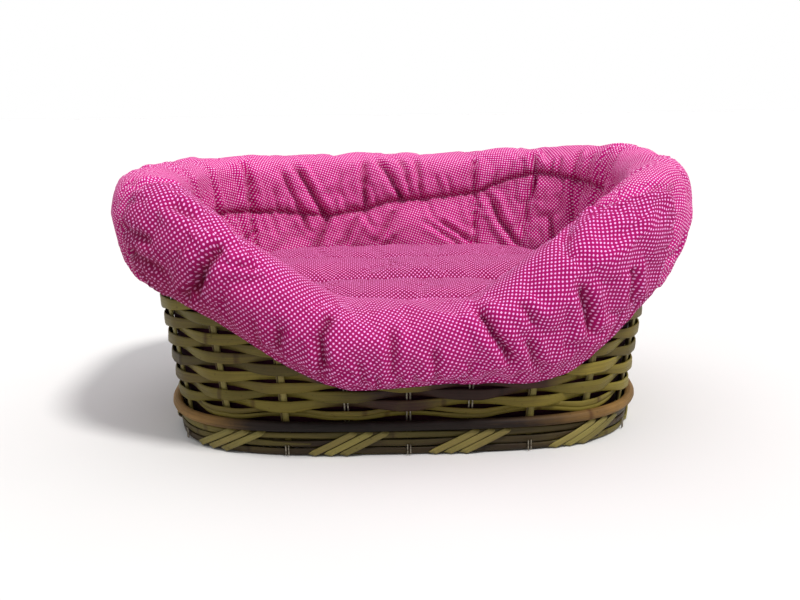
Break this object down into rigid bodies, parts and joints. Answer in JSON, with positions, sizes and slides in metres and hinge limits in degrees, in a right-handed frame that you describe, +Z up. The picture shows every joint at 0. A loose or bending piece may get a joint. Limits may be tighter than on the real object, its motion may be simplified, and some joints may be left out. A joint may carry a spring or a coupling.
{
  "type": "wicker pet bed basket",
  "caption": "Scooped oval split-cane basket for a pet, with a padded pin-dot liner that rolls over the rim to a gathered hem and a loose channel-quilted cushion.",
  "frame": {"origin": "middle of the footprint, on the surface that the basket stands on", "axes": "+X to the right seen from the low front, -Y the front, +Z up"},
  "size_m": [0.6296, 0.4774, 0.29],
  "materials": {
    "weaver_cane": "satin split cane",
    "weaver_cane_dark": "satin split cane",
    "stake_cane": "satin split cane",
    "round_cane": "satin round cane",
    "foot_cane": "satin split cane",
    "foot_cane_dark": "satin split cane",
    "tie_wire": "dull wire",
    "pin_dot_cloth": "woven cotton with a pin-dot print",
    "backing_cloth": "plain woven cotton",
    "wadding": "polyester wadding",
    "elastic": "braided elastic"
  },
  "bodies": {
    "basket": {"weaver_01": "weaver_cane", "weaver_02": "weaver_cane", "weaver_03": "weaver_cane_dark", "weaver_04": "weaver_cane", "weaver_05": "weaver_cane", "weaver_06": "weaver_cane_dark", "weaver_07": "weaver_cane", "weaver_08": "weaver_cane", "weaver_09": "weaver_cane_dark", "weaver_10": "weaver_cane", "weaver_11": "weaver_cane", "weaver_12": "weaver_cane_dark", "weaver_13": "weaver_cane", "weaver_14": "weaver_cane", "weaver_15": "weaver_cane_dark", "weaver_16": "weaver_cane", "weaver_17": "weaver_cane", "weaver_18": "weaver_cane_dark", "weaver_19": "weaver_cane", "weaver_20": "weaver_cane", "cane_stakes": "stake_cane", "wire_stays": "tie_wire", "waling_cane": "round_cane", "foot_strip_low": "foot_cane", "foot_strip_mid": "foot_cane_dark", "foot_strip_top": "foot_cane", "foot_wraps": "stake_cane", "wire_ties": "tie_wire", "base_hoop": "foot_cane_dark", "base_runners": "foot_cane", "base_slats": "stake_cane", "rim_hoop_outer": "round_cane", "rim_hoop_inner": "round_cane", "rim_lashing": "stake_cane"},
    "liner": {"liner_face": "pin_dot_cloth", "liner_wadding": "wadding", "liner_backing": "backing_cloth", "liner_floor": "backing_cloth", "liner_skirt": "pin_dot_cloth", "hem_elastic": "elastic"},
    "cushion": {"cushion_top_cover": "pin_dot_cloth", "cushion_filling": "wadding", "cushion_base_cover": "backing_cloth"}
  },
  "joints": [
    {"name": "liner_pull_off", "type": "slide", "parent": "basket", "child": "liner", "axis": [0, 0, 1], "range_m": [0, 0.26], "deforming": ["liner_skirt", "hem_elastic"]},
    {"name": "cushion_lift", "type": "slide", "parent": "liner", "child": "cushion", "axis": [0, 0, 1], "range_m": [0, 0.2]}
  ]
}
